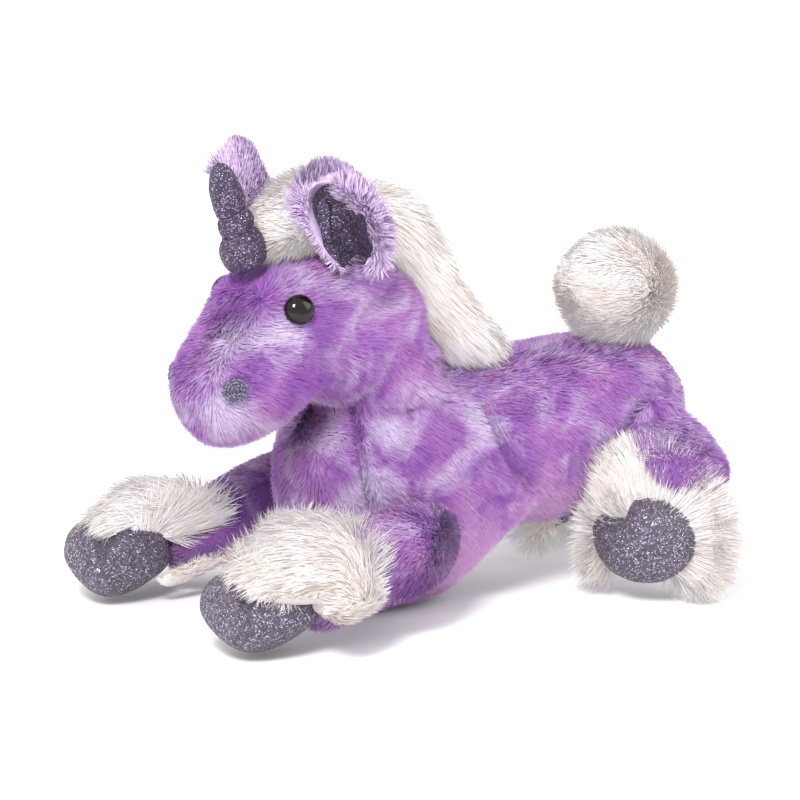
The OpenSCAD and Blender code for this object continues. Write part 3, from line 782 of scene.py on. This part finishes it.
# Each leg's own measures: its hoof's middle, heading and toe (degrees), the cuff's pile in mm, and how far the cuff
# is pressed in. For a fore leg also how much wider its hoof is, where hoof and cuff are moved, and how low it hangs.
PLAN = {
    "foreleg_left": dict(hoof=mm(-107, -59, 21), heading=0, toe=49, pile=20, press=0.12, widen=0.17,
                         shift=mm(5, 4, 1), low=28, slide=3),
    "foreleg_right": dict(hoof=mm(-123, 59, 21), heading=0, toe=-49, pile=22, press=0.34, widen=0.08,
                          shift=mm(-1, 0, 1), low=9, slide=-4),
    "hindleg_left": dict(hoof=mm(100.5, -53, 29), heading=46, pile=20, press=0.0),
    "hindleg_right": dict(hoof=mm(100.5, 53, 29), heading=46, pile=20, press=0.0),
}


def facing(degrees, sign):
    """A level direction turned outward from straight ahead."""
    return np.array([-math.cos(math.radians(degrees)), -sign * math.sin(math.radians(degrees)), 0.0])


def shape_leg(skin, fore, sign):
    """Lets the shoulder or thigh run into the trunk, and slims a hind leg's ankle."""
    co = points_of(skin.data)
    if fore:
        wall = -sign * FORE_WALL
        past = np.maximum(co[:, 0] + 30 * MM, 0)
        co[:, 0] += 0.7 * past
        taper = np.clip(past / (22 * MM), 0, 1)
        co[:, 1] = wall + (co[:, 1] - wall) * (1 - 0.85 * taper**2)
    else:
        wall = -sign * HIND_WALL
        taper = np.clip((co[:, 2] - 64 * MM) / (22 * MM), 0, 1)
        co[:, 1] = wall + (co[:, 1] - wall) * (1 - 0.8 * taper**1.5)
        slim = 0.24 * np.clip((62 * MM - co[:, 2]) / (14 * MM), 0, 1)[:, None]
        ankle = np.stack([np.full(len(co), ANKLE[0]), np.full(len(co), -sign * ANKLE[1]), co[:, 2]], 1)
        co = co + (ankle - co) * slim
    set_points(skin.data, co)
    hold(skin, low=SKIN_LOW, inner=FORE_WALL if fore else HIND_WALL, sign=sign)


def shape_fore_hoof(pillow, plan, sign):
    """Two lobes at the top of the toe with a seam between them, narrow at the toe. Gives the hoof's new middle."""
    half, up = 23 * MM, mm(0, 0, 1)
    toe = facing(plan["toe"], sign)
    across = np.array([toe[1], -toe[0], 0.0])
    co = points_of(pillow.data) - plan["hoof"]
    wide = co @ across
    co += across * (wide * (plan["widen"] - 0.22 * np.clip(co @ toe / half, 0, 1) ** 2))[:, None]
    edge = np.clip(np.abs(wide) / (26 * MM), 0, 1) ** 1.6
    co[:, 2] += 8 * MM * edge * np.clip(-co[:, 2] / (16 * MM), 0, 1)
    middle = plan["hoof"] + plan["shift"]
    set_points(pillow.data, co + middle)
    stations = ((0.25, 22), (0.7, 17), (0.98, 8), (1.06, 2))
    front = [middle + toe * half * share + up * rise for share, rise in stations]
    sew(pillow, [(np.array(front), 3.0 * MM)], 4.2 * MM)
    dent(pillow, middle + toe * half * 0.72 + up * 18, 7 * MM, 4.5 * MM)
    return middle


def shape_hind_hoof(pillow, middle, ahead, outward):
    """A round pillow with one deep notch beside its top lobe and a short seam at the bottom."""
    half = 25 * MM
    notch = middle - outward * half * 0.62 + mm(0, 0, 19)
    co = points_of(pillow.data)
    close = np.exp(-(near_line(co, [notch + ahead * 30 * MM, notch - ahead * 30 * MM]) / (7.5 * MM)) ** 2)
    set_points(pillow.data, co + unit(middle - co) * (9.5 * MM * close)[:, None])
    dent(pillow, middle - outward * half * 0.97 + mm(0, 0, 10), 7 * MM, -2.5 * MM)
    bottom = [middle + ahead * 14 * MM + outward * 2 * MM - mm(0, 0, 16),
              middle + ahead * 7 * MM + outward * 3 * MM - mm(0, 0, 24)]
    sew(pillow, [(np.array(bottom), 1.1 * MM)], 1.8 * MM)


def shape_cuff(cuff, plan, fore, middle, ahead, outward):
    """Tucks the cuff's cloth in behind its hoof and sets it on the leg."""
    co = points_of(cuff.data)
    forward = (co - middle) @ ahead
    height = co[:, 2] - middle[2]
    if fore:
        tuck = np.clip((forward + 20 * MM) / (6 * MM), 0, 1) * np.clip((14 * MM - height) / (6 * MM), 0, 1)
    else:
        tuck = np.clip((forward + 5 * MM) / (4 * MM), 0, 1)
    axis = middle + forward[:, None] * ahead
    press = plan["press"] * np.clip(height / (15 * MM), 0, 1)
    co = co + (axis - co) * np.maximum(0.62 * tuck, press)[:, None]
    if fore:
        low = plan["low"] * MM
        co[:, 2] = np.where(co[:, 2] < low, low + (co[:, 2] - low) * 0.25, co[:, 2])
        co[:, 0] += plan["slide"] * MM
    else:
        core = co.mean(0)
        co = core + (co - core) * 0.98 - outward * 5 * MM + mm(0, 0, 1)
    set_points(cuff.data, co)


def leg_shape(sign):
    """No pile on the side that lies against the trunk, and short pile by the floor."""
    return lambda at, out: (-sign * out[:, 1] > -0.75) * np.clip(0.4 + at[:, 2] / 0.012, 0, 1)


for number, leg in enumerate(LEGS):
    skin, pillow, plan = leg_skins[leg], pillows[leg], PLAN[leg]
    fore, sign = leg.startswith("fore"), 1 if leg.endswith("left") else -1
    middle, ahead = plan["hoof"], facing(plan["heading"], sign)
    outward = np.array([-sign * ahead[1], sign * ahead[0], 0.0])
    shape_leg(skin, fore, sign)
    dress(skin, BACKING, leg)
    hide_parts(leg + "_cover", leg + "_stuffing")
    nap = towards((-1.0, 0, -0.2)) if fore else towards((0.1, 0, -1.0))
    pile = grow(leg + "_pile", skin, 31 + number, comb=nap, shape=leg_shape(sign), **short)
    dress(pile, PURPLE, leg)

    if fore:
        middle = shape_fore_hoof(pillow, plan, sign)
    else:
        shape_hind_hoof(pillow, middle, ahead, outward)
    hold(pillow, low=HOOF_LOW)
    dress(pillow, HOOF_CLOTH, leg)
    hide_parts(leg + "_hoof_upper", leg + "_hoof_sole", leg + "_hoof_stuffing")

    # The fetlock's cuff: long white pile swept over the hoof
    cuff = refine(cut_from(leg + "_fetlock", leg + "_fetlock_fur"), voxel=2.4 * MM, relax=4)
    shape_cuff(cuff, plan, fore, middle, ahead, outward)
    dress(cuff, WHITE_BACKING, leg)
    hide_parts(leg + "_fetlock_fur")
    centre = middle - ahead * (20 if fore else 4) * MM

    def fetlock_nap(at, out, ahead=ahead, centre=centre, fore=fore):
        """Forward over the top of a fore hoof and back along its sides; spread all round a hind hoof."""
        spokes = unit(at - centre)
        if not fore:
            return spokes + ahead * 0.4
        top = np.clip((out[:, 2:3] - 0.25) / 0.4, 0, 1)
        return spokes * 0.5 + ahead * (1.6 * top - 0.35) + np.array([0, 0, 0.15])

    def fetlock_length(at, out, ahead=ahead, middle=middle, fore=fore):
        """Full length behind the hoof and over a fore hoof's top, shorter by the floor."""
        forward = (at - middle) @ ahead
        top = np.clip((at[:, 2] - middle[2] - 10 * MM) / (8 * MM), 0, 1)
        cover = np.clip(((-19 if fore else 4) * MM - forward) / (5 * MM), 0, 1)
        if not fore:
            return cover * np.clip(0.35 + at[:, 2] / 0.02, 0, 1)
        return np.maximum(cover * (0.6 + 0.4 * top), top) * np.clip(0.15 + (at[:, 2] - 0.012) / 0.02, 0, 1)

    fluff = grow(leg + "_fetlock_pile", cuff, 51 + number, 4.6, plan["pile"] * MM, LONG_WIDTH, fetlock_nap,
                 lay=0.88, rows=3, stray=0.1, sag=0.08, tuft=(7 * MM, 0.2), swirl=0.3, soft=0.12,
                 shape=fetlock_length)
    hold(fluff, low=CUFF_LOW, inner=(34 if fore else 22) * MM, sign=sign)
    dress(fluff, WHITE, leg)


# ---------------------------------------------------------------- mane, forelock and tail
def mane_nap(at, out):
    """Back and down the crest, spreading to both sides."""
    nap = np.tile(np.array([0.8, 0, -0.75]), (len(at), 1))
    nap[:, 1] += 0.35 * np.sign(at[:, 1])
    return nap


TAIL_WAS, TAIL_MIDDLE, TAIL_SMALLER = mm(117, 0, 149), mm(112, 0, 140), 0.86


def tail_nap(at, out):
    """A plume from the rump, combed up and forward over the back."""
    return unit(at - mm(128, 0, 128)) * 0.9 + np.array([-0.55, 0.0, 0.0])


for name, nodes, body, seed, nap, length, lay, density in (
        ("mane", ["mane"], "head", 61, mane_nap, 20 * MM, 0.84, 3.2),
        ("forelock", ["forelock"], "head", 62, towards((-0.7, -0.1, 0.15)), 13 * MM, 0.6, 3.4),
        ("tail", ["tail_fur", "tail_stuffing"], "tail", 63, tail_nap, 14 * MM, 0.72, 3.3)):
    under = refine(cut_from(name + "_ground", nodes[0]), voxel=2.6 * MM, relax=4)
    if name == "tail":
        co = points_of(under.data)
        set_points(under.data, TAIL_MIDDLE + (co - TAIL_WAS) * TAIL_SMALLER)
    dress(under, WHITE_BACKING, body)
    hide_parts(*nodes)
    fluff = grow(name + "_pile", under, seed, density * 1.5, length, LONG_WIDTH, nap, lay=lay, rows=3,
                 stray=0.11, sag=0.1, tuft=(6 * MM, 0.18), swirl=0.4, soft=0.12)
    dress(fluff, WHITE, body)


# ---------------------------------------------------------------- turned and wound forms
def surface(name, rows):
    """A smooth sheet through rows of points, each row a closed ring."""
    count, size = len(rows), len(rows[0])
    verts = [p for row in rows for p in row]
    faces = []
    for r in range(count - 1):
        for c in range(size):
            d = (c + 1) % size
            faces.append((r * size + c, r * size + d, (r + 1) * size + d, (r + 1) * size + c))
    mesh = bpy.data.meshes.new(name)
    mesh.from_pydata([tuple(v) for v in verts], [], faces)
    mesh.polygons.foreach_set("use_smooth", np.ones(len(faces), bool))
    return add_object(name, mesh)


THREAD_SIDES = 8


def thread(name, path, radius, twist):
    """A sewn thread laid along a path, its two plies twisted together."""
    path = np.array(path)
    run = unit(np.gradient(path, axis=0))
    side = unit(np.cross(run, np.array([0.13, 0.31, 0.94])))
    other = np.cross(run, side)
    along = np.concatenate([[0], np.cumsum(np.linalg.norm(np.diff(path, axis=0), axis=1))])
    rows = []
    for k, centre in enumerate(path):
        ring = []
        for s in range(THREAD_SIDES):
            angle = 2 * math.pi * s / THREAD_SIDES
            ply = 1 + 0.22 * math.cos(2 * (angle - twist * along[k]))
            ring.append(centre + radius * ply * (side[k] * math.cos(angle) + other[k] * math.sin(angle)))
        rows.append(ring)
    return surface(name, rows)


# Horn: three stuffed bulbs tied with thread. Rows are shares of its height and radius.
HORN = HEAD @ Matrix.Translation(HORN_FOOT) @ Matrix.Rotation(math.radians(-19), 4, "Y")
HORN_ROWS = [(0, 0.5), (0.04, 0.84), (0.09, 0.96), (0.16, 1), (0.24, 0.95), (0.3, 0.82), (0.34, 0.6), (0.37, 0.72),
             (0.42, 0.8), (0.47, 0.76), (0.51, 0.64), (0.53, 0.5), (0.56, 0.62), (0.63, 0.7), (0.72, 0.7),
             (0.81, 0.64), (0.89, 0.54), (0.95, 0.41), (0.985, 0.28), (1, 0.15)]
HORN_LONG, HORN_RADIUS = 53 * MM, 11.0 * MM
WAISTS = (0.34, 0.53)


HORN_RINGS, HORN_COLS = 96, 72
THREAD_LAPS, THREAD_POINTS, THREAD_RADIUS = 2, 150, 0.42 * MM


def horn_spot(share, angle):
    """A point on the horn's skin, with gathers that fade away from each tied waist."""
    at = share + 0.02 * math.cos(angle - 2.4) * math.sin(math.pi * min(share, 1))
    radius = np.interp(at, [r[0] for r in HORN_ROWS], [r[1] for r in HORN_ROWS])
    for number, waist in enumerate(WAISTS):
        close = math.exp(-((at - waist) / 0.06) ** 2)
        radius *= 1 + 0.07 * close * math.sin(11 * angle + 2 * number) + 0.04 * close * math.sin(7 * angle + 1)
    radius *= 1 + 0.03 * math.sin(3 * angle + 9 * share) + 0.02 * math.sin(5 * angle - 21 * share)
    across = radius * HORN_RADIUS
    return HORN @ Vector((across * math.cos(angle), across * math.sin(angle), share * HORN_LONG))


rows = [[horn_spot(k / HORN_RINGS, 2 * math.pi * c / HORN_COLS) for c in range(HORN_COLS)]
        for k in range(HORN_RINGS + 1)]
tip = sum(rows[-1], Vector()) / HORN_COLS
rows.append([tip + (p - tip) * 0.05 + HORN.to_3x3() @ Vector((0, 0, 0.8 * MM)) for p in rows[-1]])
foot = sum(rows[0], Vector()) / HORN_COLS
rows.insert(0, [foot + (p - foot) * 0.05 for p in rows[0]])
horn = surface("horn_skin", rows)
refine(horn, relax=1)
dress(horn, DARK_CLOTH, "horn")
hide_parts("horn_cover", "horn_stuffing")

for number, waist in enumerate(WAISTS):
    ring = []
    for k in range(THREAD_POINTS):
        part = k / THREAD_POINTS
        angle = 2 * math.pi * THREAD_LAPS * part + 0.4
        share = waist - 0.02 * math.cos(angle - 2.4) + (part - 0.5) * 0.014
        spot = horn_spot(share, angle)
        axis = HORN @ Vector((0, 0, share * HORN_LONG))
        ring.append(np.array(spot + (spot - axis).normalized() * 0.15 * MM))
    wound = thread(f"horn_thread_turns_{number + 1}", ring, THREAD_RADIUS, twist=2200)
    dress(wound, HORN_THREAD, "horn")
    if number == 0:
        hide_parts("horn_thread")

# ---------------------------------------------------------------- ears
# In the ear's own plane: how far it slants forward, and how far its top leans out
EAR_SLANT, EAR_LEAN, EAR_TALL = 0.3, 0.18, 20 * MM
for sign, side in ((1, "left"), (-1, "right")):
    leaf = refine(cut_from("ear_leaf_" + side, "ear_" + side), levels=2)
    inner = refine(cut_from("ear_cup_" + side, "ear_lining_" + side), levels=2)
    low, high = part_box("ear_lining_" + side)
    centre = (np.array(low) + np.array(high)) / 2
    ahead = np.array(HEAD.to_3x3() @ Vector((-0.67, sign * 0.74, 0)))
    hollow = unit(np.array(HEAD.to_3x3() @ Vector((-1, -sign * 0.75, 0))))
    for part in (leaf, inner):
        co = points_of(part.data)
        up, wide = co[:, 2] - centre[2], (co - centre) @ ahead
        narrow = (0.2 if part is inner else 0.0) - 0.35 * np.clip(up / EAR_TALL, 0, 1)
        set_points(part.data, co + ahead * (EAR_SLANT * up - narrow * wide)[:, None]
                   + hollow * (EAR_LEAN * np.maximum(up + 16 * MM, 0))[:, None])
    middle = centre + hollow * 3 * MM
    fold = np.array([middle + ahead * out * MM + mm(0, 0, up) for out, up in ((2, -20), (5, -4), (7.5, 10))])
    sew(inner, [(fold, 2.4 * MM)], 4.5 * MM)
    dress(leaf, PALE_PURPLE, "ear_" + side)
    # The leaf itself gets half of the pile's painted root shade and painted tip highlight.
    number_layer(leaf.data, "along", np.full(len(leaf.data.vertices), 0.5))
    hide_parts("ear_" + side)
    dress(inner, DARK_CLOTH, "ear_" + side)
    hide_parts("ear_lining_" + side)

    def ear_shape(at, out, hollow=hollow, centre=centre, ahead=ahead):
        """Long pile on the back and rim, none under the lining."""
        up = at[:, 2] - centre[2]
        wide = (at - centre) @ ahead - EAR_SLANT * up
        rim = (wide / (12 * MM)) ** 2 + (up / (21 * MM)) ** 2
        keep = np.where(out @ hollow > 0.1, np.clip((rim - 1.1) / 0.4, 0, 1), 1)
        return keep * (1 + 0.25 * np.clip((at[:, 2] - 0.19) / 0.02, 0, 1))

    def ear_nap(at, out, centre=centre, hollow=hollow):
        """Outward from the ear's middle, and swept back."""
        return unit(at - centre) - 0.7 * hollow + np.array([0, 0, 0.4])

    pile = grow("ear_pile_" + side, leaf, 71 + sign, 11.0, 10.5 * MM, 0.6 * MM, ear_nap, lay=0.6, rows=2,
                stray=0.14, tuft=(5 * MM, 0.3), swirl=0.4, shape=ear_shape, soft=0.3)
    dress(pile, PALE_PURPLE, "ear_" + side)

# ---------------------------------------------------------------- eyes and nostrils
EYE_RADIUS, EYE_RISE, EYE_SINK, EYE_DEEP = 7.0 * MM, 4.6 * MM, 1.0 * MM, 5 * MM
EYE_RINGS, EYE_COLS = 24, 64
ROSETTE_POINTS, ROSETTE_LAPS, ROSETTE_RADIUS = 420, 3.7, 0.72 * MM


def ring_at(place, radius, height):
    """A level ring of points in a trim's own frame."""
    angles = [2 * math.pi * c / EYE_COLS for c in range(EYE_COLS)]
    return [place @ Vector((radius * math.cos(a), radius * math.sin(a), height)) for a in angles]


for sign, side in ((1, "left"), (-1, "right")):
    rows = [ring_at(EYES[sign], EYE_RADIUS * 0.97, -EYE_DEEP)]
    for k in range(EYE_RINGS + 1):
        turn = math.pi / 2 * k / EYE_RINGS
        height = EYE_RISE * math.sin(turn) ** 0.92 - EYE_SINK
        rows.append(ring_at(EYES[sign], EYE_RADIUS * math.cos(turn), height))
    dome = surface("eye_dome_" + side, rows)
    dress(dome, EYE, "head")
    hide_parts("eye_" + side)
    path = []
    for k in range(ROSETTE_POINTS):
        t = k / (ROSETTE_POINTS - 1)
        angle = 2 * math.pi * ROSETTE_LAPS * t
        away = (0.7 + 4.9 * t) * MM
        height = (3.0 - 1.6 * t**2 + 0.35 * math.sin(5 * angle)) * MM
        path.append(np.array(NOSTRILS[sign] @ Vector((away * math.cos(angle), away * math.sin(angle), height))))
    rosette = thread("nostril_rosette_" + side, path, ROSETTE_RADIUS, twist=1500)
    dress(rosette, GREY_THREAD, "head")
    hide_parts("nostril_" + side)

# ---------------------------------------------------------------- floor, light and camera
floor_mesh = bpy.data.meshes.new("floor")
floor_mesh.from_pydata([(-6, -6, 0), (6, -6, 0), (6, 6, 0), (-6, 6, 0)], [], [(0, 1, 2, 3)])
floor = add_object("floor", floor_mesh)
floor.location.z = -0.0002
paper, lay, shader = start_material("Pale floor", Roughness=0.9)
shader.inputs["Base Color"].default_value = (0.93, 0.93, 0.93, 1)
floor_mesh.materials.append(paper)

world = bpy.data.worlds.new("Studio")
world.use_nodes = True
world.node_tree.nodes["Background"].inputs[0].default_value = (1, 1, 1, 1)
world.node_tree.nodes["Background"].inputs[1].default_value = 1.15
bpy.context.scene.world = world


def soft_box(name, at, size, power):
    light = bpy.data.lights.new(name, "AREA")
    light.shape = "SQUARE"
    light.size = size
    light.energy = power
    obj = add_object(name, light)
    obj.location = at
    obj.rotation_euler = (Vector((0, 0, 0.1)) - Vector(at)).to_track_quat("-Z", "Y").to_euler()


soft_box("key light", (-1.3, -1.5, 1.9), 0.7, 74)
soft_box("fill light", (1.6, -1.2, 1.4), 1.4, 18)

AIM, AWAY = Vector((-0.003, 0, 0.0974)), 2.6
azimuth, elevation = math.radians(-26), math.radians(14)
level = math.cos(elevation)
back = Vector((math.sin(azimuth) * level, -math.cos(azimuth) * level, math.sin(elevation)))
camera_data = bpy.data.cameras.new("camera")
camera_data.lens = 249
camera_data.sensor_width = 36
camera_data.clip_end = 50
camera = add_object("camera", camera_data)
camera.location = AIM + back * AWAY
camera.rotation_euler = (-back).to_track_quat("-Z", "Y").to_euler()
bpy.context.scene.camera = camera
bpy.context.scene.view_settings.view_transform = "Standard"
